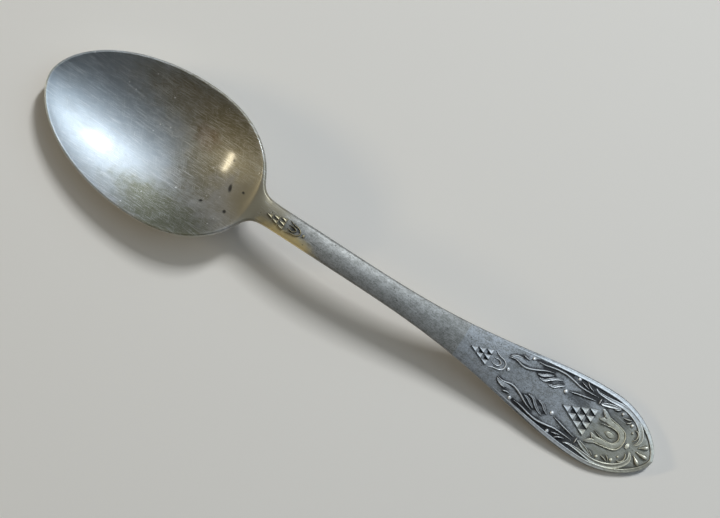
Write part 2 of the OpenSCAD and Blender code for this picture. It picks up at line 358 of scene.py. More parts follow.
def cubic(z0, m0, z1, m1, d, u):
    """From height z0 with slope m0 to height z1 with slope m1 over a length d."""
    rise = z0 * (1 - 3 * u**2 + 2 * u**3) + z1 * (3 * u**2 - 2 * u**3)
    return rise + m0 * d * (u - 2 * u**2 + u**3) + m1 * d * (u**3 - u**2)


def along_bowl(s, inset):
    """Share of the way from the widest place to the tip or to the heel."""
    to_tip = (bowl_wide - s) / (bowl_wide - inset)
    to_heel = (s - bowl_wide) / (bowl_l - bowl_wide - inset)
    return np.clip(np.where(s < bowl_wide, to_tip, to_heel), 0, 1)


def egg(s, inset):
    u = along_bowl(s, inset)
    fullness = np.where(s < bowl_wide, (1 - u * u) ** 0.55, np.sqrt(1 - u**2.3))
    return (bowl_w / 2 - inset) * fullness


def handle_half_width(s):
    throat = stem_w / 2 + flare * np.exp(np.clip(bowl_l - s, None, 0) / flare_l)
    u = np.clip((s - narrow_s) / (wide_s - narrow_s), 0, 1)
    widening = mix(stem_w, end_w, (1 - np.cos(np.pi * u**1.55)) / 2) / 2
    tip = end_w / 2 * np.clip(1 - ((s - wide_s) / end_wide) ** 2, 0, 1) ** 0.62
    return np.where(s < narrow_s, throat, np.where(s < wide_s, widening, tip))


def half_width(s):
    heel = soft_max(egg(s, 0), handle_half_width(s) * ease((s - bowl_wide) / (bowl_l - bowl_wide)))
    return np.where(s > bowl_l, handle_half_width(s), np.where(s < bowl_wide, egg(s, 0), heel))


def spine(s):
    """Height of the rim, and of the handle's top face on the axis."""
    front = cubic(tip_h, tip_slope, rim_h, wide_slope, bowl_wide, s / bowl_wide)
    rise = crest_s - bowl_wide
    neck = cubic(rim_h, wide_slope, crest_h, 0, rise, (s - bowl_wide) / rise)
    fall = foot_s - crest_s
    stem = cubic(crest_h, 0, end_t, 0, fall, (s - crest_s) / fall)
    tip = end_t + tip_curl * ((s - foot_s) / (length - foot_s)) ** 2
    return np.select([s < bowl_wide, s < crest_s, s < foot_s], [front, neck, stem], tip)


def dish(s, y, inset, half):
    u = along_bowl(s, inset)
    v = np.clip(np.abs(y) / np.maximum(half, 1e-6), 0, 1)
    return ((1 - u * u) * (1 - v * v)) ** 0.9


deepest = np.arange(bowl_wide / 2, bowl_wide, 0.5)
outer_depth = wear + np.min((spine(deepest) - rim_edge) / dish(deepest, 0, 0, 1))
inner_depth = outer_depth + rim_edge - wall


def crown(s):
    late = mix(stem_crown, end_crown, ease((s - ground_start_s) / 8))
    return np.where(s < ground_start_s, stem_crown * ease((s - bowl_l + 1) / 4), late)


def edge(s):
    early = mix(rim_edge, stem_edge, ease((s - bowl_wide) / (throat_s - bowl_wide)))
    late = mix(stem_edge, end_edge, ease((s - crest_s) / (end_start_s - crest_s)))
    return np.where(s < throat_s, early, late)


def thick(s):
    early = neck_t * ease((s - bowl_l + 12) / 12)
    middle = mix(neck_t, stem_t, ease((s - bowl_l) / (crest_s - bowl_l)))
    late = mix(stem_t, end_t, ease((s - crest_s) / (end_start_s - crest_s)))
    return np.select([s < bowl_l, s < crest_s], [early, middle], late)


def top(s, y):
    hollow = inner_depth * dish(s, y, rim_w, egg(s, rim_w))
    soft = rim_soft + heel_soft * np.exp(-(((s - bowl_l) / 4) ** 2) - (y / 4.5) ** 2)
    hollow = np.sqrt(hollow**2 + soft**2) - soft
    sunk = ease((s - ground_start_s) / (ground_full_s - ground_start_s))
    margin = ease((np.abs(y) - half_width(s) + margin_w) / margin_w)
    ground = sunk * (ground_d + margin_drop * margin)
    share = np.clip(y / np.maximum(half_width(s), 1e-6), -1, 1)
    return spine(s) - hollow - crown(s) * share**2 - ground


def under(s, y):
    side = crown(s) + edge(s)
    half = half_width(s)
    bowl = outer_depth * dish(s, y, 0, half)
    share = np.clip(y / np.maximum(handle_half_width(s), 1e-6), -1, 1)
    handle = np.clip(thick(s) - side, 0, None) * (1 - share**2) ** 0.7
    return np.maximum(0, spine(s) - side - soft_max(bowl, handle))


print("bowl is", round(float(inner_depth), 2), "mm deep inside")

# %% [markdown]
# ## From height field to metal
# A section of the strip is a closed ring of points: across the top, round the worn edge, back
# along the underside and round the other edge. Rows of rings are spaced evenly along the
# outline, not along the axis, so the rows crowd together where the outline turns at a tip.

# %% Rings and rows
EDGE_STEPS, FLAT_STEPS = 8, 6
SEAM_REACH = 1.2


def stations(start, end, step):
    """Stations whose outline points are evenly spaced."""
    fine = start + (end - start) * (1 - np.cos(np.linspace(0, np.pi, 20001))) / 2
    run = np.concatenate([[0], np.cumsum(np.hypot(np.diff(fine), np.diff(half_width(fine))))])
    return np.interp(np.linspace(0, run[-1], int(run[-1] / step) + 1), run, fine)


def outward(s, seams):
    """Direction square to the outline; at a seam it is turned square to the axis."""
    ds, dh = np.gradient(s), np.gradient(half_width(s))
    free = np.ones_like(s)
    for seam in seams:
        free = np.minimum(free, ease(np.abs(s - seam) / SEAM_REACH))
    ns = -dh * free
    size = np.hypot(ns, ds)
    return ns / size, ds / size


def columns(n):
    """Shares of the way across, crowded towards the edges."""
    return np.sin(np.linspace(-np.pi / 2, np.pi / 2, n + 1))


def strip(start, end, step, n, rounding, seams):
    """Points of a stretch of the strip, as rows of rings."""
    s = stations(start, end, step)
    half = half_width(s)
    ns, ny = outward(s, seams)
    for row, tip in ((0, 0.0), (-1, length)):
        if abs(s[row] - tip) < 1e-6:
            half[row], ns[row], ny[row] = 0.0, math.copysign(1, tip - length / 2), 0.0
    inset_s = s - ns * rounding
    inset_y = np.maximum(half - ny * rounding, 0)
    inner = np.maximum(egg(s, rim_w), 0.6 * half)
    inner = np.minimum(inner, inset_y)[:, None]
    flat = np.linspace(0, 1, FLAT_STEPS + 1)[1:]
    across = np.concatenate(
        [
            -mix(inner, inset_y[:, None], flat[::-1]),
            inner * columns(n),
            mix(inner, inset_y[:, None], flat),
        ],
        axis=1,
    )
    s_rows = np.broadcast_to(inset_s[:, None], across.shape)
    high, low = top(s_rows, across), under(s_rows, across)
    middle = (high[:, -1:] + low[:, -1:]) / 2
    reach = (high[:, -1:] - low[:, -1:]) / 2
    turn = np.linspace(np.pi / 2, -np.pi / 2, EDGE_STEPS + 1)[1:-1]
    arc_s = s[:, None] - (ns * rounding)[:, None] * (1 - np.cos(turn))
    arc_y = half[:, None] - (ny * rounding)[:, None] * (1 - np.cos(turn))
    arc_y = np.maximum(arc_y, 0)
    arc_z = middle + reach * np.sin(turn)
    ring_s = np.concatenate([s_rows, arc_s, s_rows[:, ::-1], arc_s[:, ::-1]], axis=1)
    ring_y = np.concatenate([across, arc_y, across[:, ::-1], -arc_y[:, ::-1]], axis=1)
    ring_z = np.concatenate([high, arc_z, low[:, ::-1], arc_z[:, ::-1]], axis=1)
    return np.stack([ring_s - length / 2, ring_y, ring_z], axis=-1) * MM


def skin(name, rings, closed_ends):
    """A closed mesh round rows of rings, smooth except for its flat ends."""
    rows, ring = rings.shape[:2]
    index = np.arange(rows * ring).reshape(rows, ring)
    after = np.roll(index, -1, axis=1)
    quads = np.stack([index[:-1], after[:-1], after[1:], index[1:]], axis=-1).reshape(-1, 4)
    faces = quads.tolist()
    faces += [index[end].tolist() for end in closed_ends]
    mesh = bpy.data.meshes.new(name)
    mesh.from_pydata(rings.reshape(-1, 3).tolist(), [], faces)
    work = bmesh.new()
    work.from_mesh(mesh)
    bmesh.ops.remove_doubles(work, verts=work.verts, dist=1e-8)
    bmesh.ops.recalc_face_normals(work, faces=work.faces)
    for face in work.faces:
        face.smooth = len(face.verts) <= 4
        for rim in face.edges:
            rim.smooth = rim.smooth and face.smooth
    volume = work.calc_volume(signed=True)
    if volume < 0:
        bmesh.ops.reverse_faces(work, faces=work.faces)
    work.to_mesh(mesh)
    work.free()
    print(name, len(mesh.polygons), "faces", round(abs(volume) / MM**3, 1), "mm3")
    return mesh


def show(name, mesh, finish, node):
    """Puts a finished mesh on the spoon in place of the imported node."""
    if finish.name not in [m.name for m in mesh.materials if m]:
        mesh.materials.clear()
        mesh.materials.append(finish)
    made = bpy.data.objects.new(name, mesh)
    scene.collection.objects.link(made)
    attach(made, "root")
    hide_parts(node)
    return made


# %% [markdown]
# ## Finishes
# Old plate is never one grey. Wiping drags fine scratches along the bowl, food and air leave
# brown and olive films where a cloth doesn't reach, small pits open in the plate, and the
# ground round the ornament stays black while the tops of the lines are rubbed bright. Some
# colour also stands for light: a painted bluish reflection near the bowl's tip, painted dark
# reflection in the olive film on its flank and heel, a painted warm glint on the neck, and
# painted highlights on the tops of the lines.

# %% Parts that every silver finish shares
SILVER = (0.53, 0.53, 0.52, 1)
OLIVE = (0.17, 0.145, 0.065, 1)
BROWN = (0.20, 0.12, 0.07, 1)
BLACK = (0.012, 0.012, 0.014, 1)


def scratches(finish, turn, width, reach, share, shift):
    """Fine straight lines in one direction; share is how much of the surface they cover."""
    lines = finish.noise((reach, width, reach), turn, 1.0, (shift, shift, 0))
    return lines.above(0.66 - share, 0.72 - share)


def pits(finish, size, share, shift):
    """Small round spots in a few cells out of many."""
    place = finish.stretched((size, size, size), 17, (shift, 0, 0))
    spot = finish.node("ShaderNodeTexVoronoi", {}, {"Vector": place, "Scale": 1.0})
    chosen = finish.node("ShaderNodeTexVoronoi", {}, {"Vector": place, "Scale": 1.0}, out="Color")
    luck = finish.node("ShaderNodeSeparateColor", {}, {"Color": chosen})
    return (1 - spot.above(0.08, 0.26)) * luck.above(1 - share, 1 - share * 0.8)


def mixed(a, b, k):
    return a * (1 - k) + b * k


# %% Finish of the bowl
PAINTED_BLUE_REFLECTION = (0.45, 0.53, 0.60, 1)
GREENISH = (0.24, 0.245, 0.16, 1)
HAZY = (0.33, 0.32, 0.32, 1)
BRIGHT = (0.9, 0.9, 0.9, 1)
THROAT = (0.29, 0.26, 0.19, 1)
THROAT_METALLIC, THROAT_ROUGHNESS = 0.6, 0.44
# station, distance across, radii, turn and raggedness of the large black spots
BLACK_SPOTS = [
    (41.6, 0.2, (1.1, 0.5), 70, 0.5),
    (44.5, 0.7, (0.5, 0.35), 20, 0.4),
    (38, -5, (0.6, 0.35), -30, 0.4),
    (43.3, -4.3, (0.5, 0.45), 0, 0.4),
]


def throat_patch(finish):
    """The stretch round the throat, where bowl and neck share one dull finish."""
    return finish.patch(throat_s - 0.5, 0, (9, 7.5), wander=0.12)


def bowl_finish():
    f = Finish("worn_bowl_silver")
    cloud = f.noise((9, 6, 9), detail=4.0)
    fine = f.noise((0.6, 0.4, 0.6), detail=4.0, roughness=0.7)
    long_lines = scratches(f, 2, 0.06, 4, 0.06, 0.3)
    slant_lines = scratches(f, -14, 0.05, 3, 0.04, 0.7)
    cross_lines = scratches(f, 63, 0.06, 3, 0.0, 0.11)
    lines = (long_lines + slant_lines * 0.7 + cross_lines * 0.8).clamped()
    spots = pits(f, 1.6, 0.02, 0.05)
    for spot in BLACK_SPOTS:
        spots = spots + f.patch(*spot)
    spots = spots.clamped()
    heel = f.patch(40, 2, (15, 13))
    flank_film_and_reflection = f.patch(29, 11.5, (20, 7.5), turn=-8)
    low = f.patch(34, -11.5, (17, 6), turn=4)
    haze = f.patch(43.2, -2, (8, 6), turn=20, wander=0.6)
    throat = throat_patch(f)
    # the olive film is partly tarnish and partly painted reflection: on the upper flank and round the heel
    # it paints the dark, brownish surroundings that the bowl mirrors
    film = (heel * 0.85 + flank_film_and_reflection * 0.8 + low * 0.3 + cloud.above(0.5, 0.75) * 0.2).clamped()
    film = film * (0.6 + fine * 0.8)
    tint = f.colour(
        SILVER,
        # painted reflection: the cool window that the tip half of the bowl mirrors, painted bluish into its
        # colour
        (PAINTED_BLUE_REFLECTION, f.patch(11, -2, (30, 22), wander=0.2) * 0.6),
        (OLIVE, film * 0.8),
        (GREENISH, low * (0.4 + fine * 0.9)),
        (BROWN, f.patch(32, 6, (4, 3), wander=0.6) * 0.35),
        (BRIGHT, (lines * 0.55 + pits(f, 0.9, 0.03, 0.2)).clamped()),
        (HAZY, haze * 0.6),
        (THROAT, throat),
        (BLACK, spots * 0.85),
    )
    rough = 0.42 + cloud * 0.08 + fine * 0.06 + lines * 0.06 + film * 0.06 + haze * 0.08
    hairlines = f.noise((2.2, 0.06, 2.2), 2, 2.0, (0.05, 0.05, 0))
    quiet = 1 - throat
    relief = f.bumps((hairlines * quiet, 0.02), (lines * quiet, 0.005), (fine, 0.004), (1 - spots, 0.05))
    metal = 0.97 - film * 0.12 - haze * 0.3
    f.wear({
        "Base Color": tint,
        "Roughness": mixed(rough, THROAT_ROUGHNESS, throat),
        "Metallic": mixed(metal, THROAT_METALLIC, throat),
        "Coat Weight": 0.8 * quiet,
        "Coat Roughness": 0.145,
        "Normal": relief,
    })
    return f.material


# %% Finish of the neck, the stem and the handle end
GREY = (0.17, 0.17, 0.155, 1)
WARM_GLINT_COLOUR = (1.0, 0.80, 0.38, 1)
SCRATCHED = (0.8, 0.8, 0.8, 1)


def olive_end(finish):
    """The warm film over the last stretch of the handle."""
    return finish.patch(length - 7, -1.5, (13, 9), wander=0.25)


def handle_finish(name, cool, warm):
    """Mottled worn plate that turns black where the ornament crowds it."""
    f = Finish(name)
    mottle = f.noise((1.3, 0.9, 1.3), detail=5.0, roughness=0.7)
    grain = f.noise((0.3, 0.25, 0.3), detail=3.0, roughness=0.6)
    lines = scratches(f, 4, 0.06, 3, 0.05, 0.2)
    spots = pits(f, 0.7, 0.2, 0.09)
    dark = (f.attribute("near") + (mottle - 0.5) * 0.9 + (grain - 0.5) * 0.5).above(0.5, 1.4)
    film = (mottle * 0.5 + grain * 0.5).above(0.36, 0.64)
    olive = olive_end(f)
    # painted reflection: a warm glint along the neck's lower edge, standing in for the wood that it would
    # mirror
    painted_warm_glint = f.patch(throat_s + 7.5, -2.5, (8, 2.4), wander=0.3)
    shade = f.patch(length - 10.2, 3.4, (5, 2), wander=0.3) * 0.5
    shade = (shade + f.patch(length - 19, 2.5, (4, 1.6), wander=0.4) * 0.6).clamped()
    throat = throat_patch(f)
    tint = f.colour(
        cool,
        (GREY, film * 0.85),
        (warm, olive * 0.7),
        (THROAT, throat),
        (BLACK, shade),
        (WARM_GLINT_COLOUR, painted_warm_glint * 0.9),
        (SCRATCHED, lines * 0.3),
        (BLACK, (spots * 0.6 + dark * (1 - olive * 0.4)).clamped() * 0.94),
    )
    rough = mixed(0.46 + mottle * 0.16 + dark * 0.1, THROAT_ROUGHNESS, throat) - painted_warm_glint * 0.14
    f.wear({
        "Base Color": tint,
        "Roughness": rough,
        "Metallic": mixed(0.66 - dark * 0.3, THROAT_METALLIC, throat),
        "Normal": f.bumps((mottle, 0.014), (grain, 0.008), (1 - spots, 0.03)),
    })
    return f.material


# %% Finish of the raised lines
def relief_finish():
    f = Finish("relief_silver_rubbed_and_highlit")
    mottle = f.noise((0.7, 0.5, 0.7), detail=4.0, roughness=0.6)
    # the number kept on each line paints it black at the foot and near white on top: tarnish and rubbed
    # wear, with painted shade on the sides and a painted highlight on the crest
    tone = f.attribute("tone") + (mottle - 0.5) * 0.3
    olive = olive_end(f)
    dull = f.patch(throat_s + 5, 0, (14, 9), wander=0.1)
    body = f.colour((0.30, 0.31, 0.32, 1), ((0.30, 0.29, 0.23, 1), olive))
    crest = f.colour(
        (0.93, 0.95, 0.97, 1),
        ((0.90, 0.87, 0.72, 1), olive),
        ((0.50, 0.44, 0.28, 1), dull),
    )
    f.wear({
        "Base Color": f.colour(BLACK, (body, tone.above(0.02, 0.30)), (crest, tone.above(0.36, 0.72))),
        "Roughness": 0.46 - tone.clamped() * 0.14,
        "Metallic": 0.8 - tone.clamped() * 0.5,
        "Normal": f.bumps((mottle, 0.008)),
    })
    return f.material


bowl_silver = bowl_finish()
stem_silver = handle_finish("worn_stem_silver", (0.39, 0.385, 0.37, 1), (0.37, 0.33, 0.23, 1))
ground_silver = handle_finish("oxidised_ground", (0.46, 0.48, 0.51, 1), (0.35, 0.34, 0.26, 1))
relief_silver = relief_finish()
print("finishes", [each.name for each in (bowl_silver, stem_silver, ground_silver, relief_silver)])

# %% [markdown]
# ## Bowl, neck, stem and handle end
# Four stretches of the strip. The bowl closes on a rounded tip in front, and the handle end
# on a rounded tip behind; every other end is a flat seam against its neighbour.

# %% The four stretches
BOWL_EDGE, STEM_EDGE, END_EDGE = 0.34, 0.45, 0.36


def rounding_at(s):
    """How far the worn edge is rounded; it changes slowly, so that seams match."""
    early = mix(BOWL_EDGE, STEM_EDGE, ease((s - bowl_wide) / (throat_s - bowl_wide)))
    late = mix(STEM_EDGE, END_EDGE, ease((s - crest_s) / (end_start_s - crest_s)))
    return np.where(s < throat_s, early, late)


def stretch(start, end, step, n, seams):
    return strip(start, end, step, n, rounding_at(stations(start, end, step)), seams)


bowl_mesh = skin("bowl_skin", stretch(0, throat_s, 0.2, 72, [throat_s]), [-1])
neck_mesh = skin("neck_skin", stretch(throat_s, neck_end_s, 0.1, 36, [throat_s, neck_end_s]), [0, -1])
stem_mesh = skin("stem_skin", stretch(neck_end_s, end_start_s, 0.25, 30, [neck_end_s, end_start_s]), [0, -1])
end_mesh = skin("end_skin", stretch(end_start_s, length, 0.12, 96, [end_start_s]), [0])

show("silver_bowl", bowl_mesh, bowl_silver, "bowl")
silver_neck = show("silver_neck", neck_mesh, stem_silver, "neck")
show("silver_stem", stem_mesh, stem_silver, "stem")
silver_end = show("silver_end", end_mesh, ground_silver, "handle_end")

# %% [markdown]
# ## The ornament as paths and points
# The struck lines are named by their control points, in millimetres from the handle's tip
# and from the axis. Each line also has a width and the place where it is fattest. Broad bodies
# are slabs and leaves, and what stands on both sides of the axis is drawn once and mirrored.

# %% Lines
BORDER_INSET = 0.55


def line(points, width, fat=0.5, **more):
    """A peaked line, or with flat=1 a band whose middle is lower than its edges by dip.

    Width and tall are one number or one for each point. A further number says how bright its
    top is painted, partly as rubbed wear and partly as a painted highlight, and shade how much
    it blackens the ground round it.
    """
    made = dict(tall=1.0, even=0.0, flat=0.0, dip=0.0, gloss=1.0, shade=0.2)
    made.update(points=points, width=width, fat=fat, **more)
    for key in ("width", "tall"):
        if not isinstance(made[key], list):
            made[key] = [made[key]] * len(points)
    return made


def from_tip(points):
    return [(length - back, y) for back, y in points]


def both_sides(points):
    return points + [(p, -y) for p, y in reversed(points[:-1])]


def flipped(lines):
    return [dict(each, points=[(s, -y) for s, y in each["points"]]) for each in lines]


def paired(lines):
    return lines + flipped(lines)


def end_line(points, width, fat=0.5):
    return line(from_tip(points), width, fat)


def leaf(points, width, fat=0.5, gloss=0.85):
    """A broad leaf with raised edges and a hollow middle."""
    return line(from_tip(points), width, fat, flat=1.0, dip=0.55, gloss=gloss)


def drop(points, width, fat=0.7):
    """A short rounded drop."""
    return line(from_tip(points), width, fat, flat=1.0, dip=-0.4, gloss=0.42, shade=0.1)


def slab(points, width, tall=0.6, even=0.0):
    """A low broad body under and between finer lines."""
    return line(from_tip(points), width, tall=tall, even=even, flat=1.0, gloss=0.5, shade=0.0)


def placed(points, s, k):
    return [(s + p * k[0], y * k[1]) for p, y in points]


def small_tulip(s, k):
    cup = both_sides([(4.8, 1.75), (6, 1.3), (7.2, 1.05), (7.9, 0.5), (8, 0)])
    heart = both_sides([(5.1, 0.5), (6.4, 0.6), (7, 0)])
    return [
        line(placed(cup, s, k), 0.5 * k[1], shade=0.09),
        line(placed(heart, s, k), 0.4 * k[1], shade=0.09),
    ]


def border():
    """The raised margin; it grows out of the surface as the ground sinks away from it."""
    inset = BORDER_INSET
    s = length - 35 + (35 - inset) * np.sin(np.linspace(0, np.pi / 2, 29))
    tip_share = np.clip(1 - ((s - wide_s) / (end_wide - inset)) ** 2, 0, 1) ** 0.62
    y = np.where(s < wide_s, handle_half_width(s) - inset, (end_w / 2 - inset) * tip_share)
    rise = ease((s - ground_start_s) / (length - 20 - ground_start_s)).tolist()
    path = both_sides(list(zip(s.tolist(), y.tolist())))
    tall = rise + rise[-2::-1]
    width = [0.12 + 0.8 * k for k in tall]
    return [line(path, width, tall=tall, even=1.0, flat=1.0, dip=0.12, gloss=0.62, shade=0.0)]


TULIP = [
    slab(both_sides([(12.3, 2.35), (11, 2.05), (9.6, 1.95), (8.2, 1.5), (7.45, 0)]),
         [1.6, 1.3, 1.2, 1.2, 1.2, 1.2, 1.2, 1.3, 1.6], even=1.0),
    *paired([
        slab([(13.9, 3.7), (12.6, 2.95), (11.2, 2.4)], 1.1),
        slab([(13.6, 1.6), (12.6, 1.9), (11.3, 2)], 0.9),
        end_line([(13.5, 3.4), (12.75, 2.6), (13.3, 1.7)], 0.28),
    ]),
    end_line(both_sides([(13.5, 3.7), (12.2, 3), (9.4, 2.5), (7.5, 1.8), (6.9, 0)]), 0.45),
]
HEART = [
    end_line(both_sides([(13.3, 0.8), (12.2, 1.15), (10.2, 1.45), (8.7, 1.15), (8.1, 0)]), 0.36),
    slab([(11.2, 0), (9.9, 0), (8.8, 0)], 1.3, tall=0.5),
]
TIE = [line(from_tip([(6, -0.6), (6, 0), (6, 0.6)]), 0.9, even=0.7, flat=1.0, dip=0.3)]
SCROLL = [
    end_line([(6.3, 3.45), (5.6, 3.4), (5.15, 2.8), (5.15, 2), (5.6, 1.3)], 0.4, 0.4),
    leaf([(5, 0.75), (4.4, 1.6), (4.4, 2.7), (5.4, 4.15), (7.3, 5.4), (10.2, 6.1),
          (14, 5.85), (16.2, 5.85), (17.1, 6.25)], 1.2, 0.32, gloss=1.0),
]
SPRAY = [
    # two long stems and the tie that binds them
    end_line([(35.5, 2.1), (34, 2.45), (32.2, 2.1), (30.9, 2.25), (29.5, 2.8), (27.6, 3.75),
              (25.9, 4.3)], 0.5),
    end_line([(30, 4.5), (28.4, 4.6), (26.2, 5.1), (24, 5.35), (21.7, 5.1), (19.7, 4.8),
              (15.8, 5)], 0.52),
    end_line([(15.2, 3.8), (15.2, 4.5), (15.2, 5.2)], 0.4),
    # the leaf that the first stem grows from
    slab([(35.2, 2.5), (34, 2.95), (32.3, 2.85), (31, 2.9)], 0.9, tall=0.5),
    end_line([(35, 2.8), (34, 3.2), (32.8, 3.4)], 0.4),
    end_line([(33, 4), (32.1, 3.8), (31.3, 3.8)], 0.35),
    # leaves beside the first stem
    leaf([(28.8, 2.45), (27.8, 2.65), (26.8, 3.25), (25.7, 3.8)], 0.55),
    leaf([(28.2, 1.85), (26.9, 2.05), (26, 2.8), (24.8, 3.6), (23.4, 4.1)], 0.6),
    leaf([(26, 1.75), (24.7, 2), (23.8, 2.7), (22.6, 3.4)], 0.6),
    # the stalk of the large bead
    end_line([(21.5, 2.9), (18.8, 3.55), (15.8, 4.2)], 0.4),
    # leaves beside the second stem
    end_line([(19.3, 6.5), (18.6, 5.85), (17.3, 5.45)], 0.35),
    end_line([(20.3, 5.75), (19.4, 5.55), (18.4, 5.3)], 0.3),
    # a broad leaf past the tie, and the two feathers beyond it
    leaf([(14.9, 4.2), (13.2, 4.8), (11.8, 5.25), (10.7, 5.5)], 0.95, 0.4),
    end_line([(12, 4.7), (11.3, 4.95), (10.7, 5.4)], 0.32),
    end_line([(9.5, 4.3), (8.6, 4.45), (7.8, 4.75)], 0.36),
    end_line([(8.6, 3.7), (8, 4), (7.6, 4.5)], 0.32),
]
DROPS = [
    drop([(4, 0), (2.6, 0), (1.2, 0)], 0.95),
    *paired([drop([(4, 0.8), (3, 1.5), (2.1, 2.1)], 0.95)]),
]

neck_motif = (throat_s + 1.6, (0.94, 0.72))
shoulder_motif = (length - 43, (1, 1))
LINES = {
    "border_rim": border(),
    "neck_tulip": small_tulip(*neck_motif),
    "shoulder_tulip": small_tulip(*shoulder_motif),
    "end_tulip": TULIP,
    "tulip_heart": HEART,
    "tie_block": TIE,
    "scroll_left": SCROLL,
    "scroll_right": flipped(SCROLL),
    "spray_left": SPRAY,
    "spray_right": flipped(SPRAY),
    "tip_drops": DROPS,
}
print("struck lines", sum(len(each) for each in LINES.values()))

# %% Beads and spikes
def spikes(s, rows, size, pitch):
    """Places and sizes of spikes in rows that grow by one, heel to heel."""
    return [
        (s + size[0] + row * pitch[0], (i - row / 2) * pitch[1], size[0], size[1])
        for row in range(rows)
        for i in range(row + 1)
    ]


def small_spikes(s, k):
    return spikes(s, 3, (1.4 * k[0], 1.1 * k[1]), (1.5 * k[0], 1.15 * k[1]))


def bead(s, y, radius):
    return (s, y, radius, radius)


def small_bead(s, k):
    return [bead(s + 8.8 * k[0], 0, 0.42 * k[1])]


BEADS = [
    bead(length - back, y, radius)
    for back, y, radius in [(30.9, 4.5, 0.42), (22.1, 2.5, 0.5), (21, 6, 0.4), (10, 4.9, 0.36),
                            (7.2, 3.95, 0.42), (6.4, 2.75, 0.25)]
]
SPIKE_NODES = {
    "neck_pyramid": small_spikes(*neck_motif),
    "shoulder_pyramid": small_spikes(*shoulder_motif),
    "end_pyramid": spikes(length - 21.3, 4, (1.68, 1.45), (1.67, 1.55)),
}
BEAD_NODES = {
    "neck_bead": small_bead(*neck_motif),
    "shoulder_bead": small_bead(*shoulder_motif),
    "beads_left": BEADS,
    "beads_right": [(s, -y, a, b) for s, y, a, b in BEADS],
}
print("beads and spikes", sum(len(v) for v in [*SPIKE_NODES.values(), *BEAD_NODES.values()]))

# %% [markdown]
# ## Laying the ornament on the metal
# Every struck line follows a path and lies on a curved face, which is what Geometry Nodes do
# well. One tree draws the ridge along its path and drops it on the metal by casting a ray down
# from each point. A second tree sets a small boss on each marked point in the same way. Both
# share the part that lowers a flat shape onto the metal.

# %% Geometry node helpers
class Tree:
    """A Geometry Nodes tree under construction."""

    def __init__(self, name, *inputs):
        self.group = bpy.data.node_groups.new(name, "GeometryNodeTree")
        self.start = self.group.nodes.new("NodeGroupInput")
        self.end = self.group.nodes.new("NodeGroupOutput")
        for socket, kind in (("Geometry", "Geometry"), ("Metal", "Object"), ("Height", "Float"), *inputs):
            self.group.interface.new_socket(socket, in_out="INPUT", socket_type="NodeSocket" + kind)
        self.group.interface.new_socket("Geometry", in_out="OUTPUT", socket_type="NodeSocketGeometry")

    def given(self, name):
        return self.start.outputs[name]

    def axes(self):
        """The parts of each point's place, by the names X, Y and Z."""
        split = self.group.nodes.new("ShaderNodeSeparateXYZ")
        self.group.links.new(self.node("GeometryNodeInputPosition", {}, {}), split.inputs[0])
        return split.outputs

    def node(self, kind, settings, values, out=0):
        made = self.group.nodes.new(kind)
        for key, value in settings.items():
            setattr(made, key, value)
        for key, value in values.items():
            if isinstance(value, bpy.types.NodeSocket):
                self.group.links.new(value, made.inputs[key])
            else:
                made.inputs[key].default_value = value
        return made.outputs[out]

    def maths(self, operation, *values):
        return self.node("ShaderNodeMath", {"operation": operation}, dict(enumerate(values)))

    def named(self, name):
        return self.node("GeometryNodeInputNamedAttribute", {"data_type": "FLOAT"}, {"Name": name})

    def store(self, geometry, name, value):
        return self.node(
            "GeometryNodeStoreNamedAttribute",
            {"data_type": "FLOAT", "domain": "POINT"},
            {"Geometry": geometry, "Name": name, "Value": value},
        )

    def result(self, geometry):
        self.group.links.new(geometry, self.end.inputs[0])


def dressed(tree, geometry):
    """The end of each tree: real geometry with its finish."""
    real = tree.node("GeometryNodeRealizeInstances", {}, {"Geometry": geometry})
    return tree.node(
        "GeometryNodeSetMaterial", {}, {"Geometry": real, "Material": tree.given("Finish")}
    )


# %% The tree that lays a flat shape on the metal
def lay_on_metal():
    t = Tree("lay_on_metal", ("Bed", "Float"))
    metal = t.node("GeometryNodeObjectInfo", {}, {"Object": t.given("Metal")}, out="Geometry")
    place = t.axes()
    above = t.node("ShaderNodeCombineXYZ", {}, {"X": place["X"], "Y": place["Y"], "Z": 0.05})
    hit = t.node(
        "GeometryNodeRaycast",
        {},
        {
            "Target Geometry": metal,
            "Source Position": above,
            "Ray Direction": (0.0, 0.0, -1.0),
            "Ray Length": 0.1,
        },
        out="Hit Position",
    )
    lift = t.named("lift")
    raised = t.maths("MULTIPLY", lift, t.given("Height"))
    sunk = t.maths("MULTIPLY", t.maths("LESS_THAN", lift, 0.001), t.given("Bed"))
    up = t.node("ShaderNodeCombineXYZ", {}, {"Z": t.maths("SUBTRACT", raised, sunk)})
    goal = t.node("ShaderNodeVectorMath", {"operation": "ADD"}, {0: hit, 1: up})
    t.result(t.node("GeometryNodeSetPosition", {}, {"Geometry": t.given("Geometry"), "Position": goal}))
    return t.group


LAY = lay_on_metal()


def laid(tree, geometry, height):
    values = {"Geometry": geometry, "Metal": tree.given("Metal"), "Height": height, "Bed": bed * MM}
    return tree.node("GeometryNodeGroup", {"node_tree": LAY}, values)


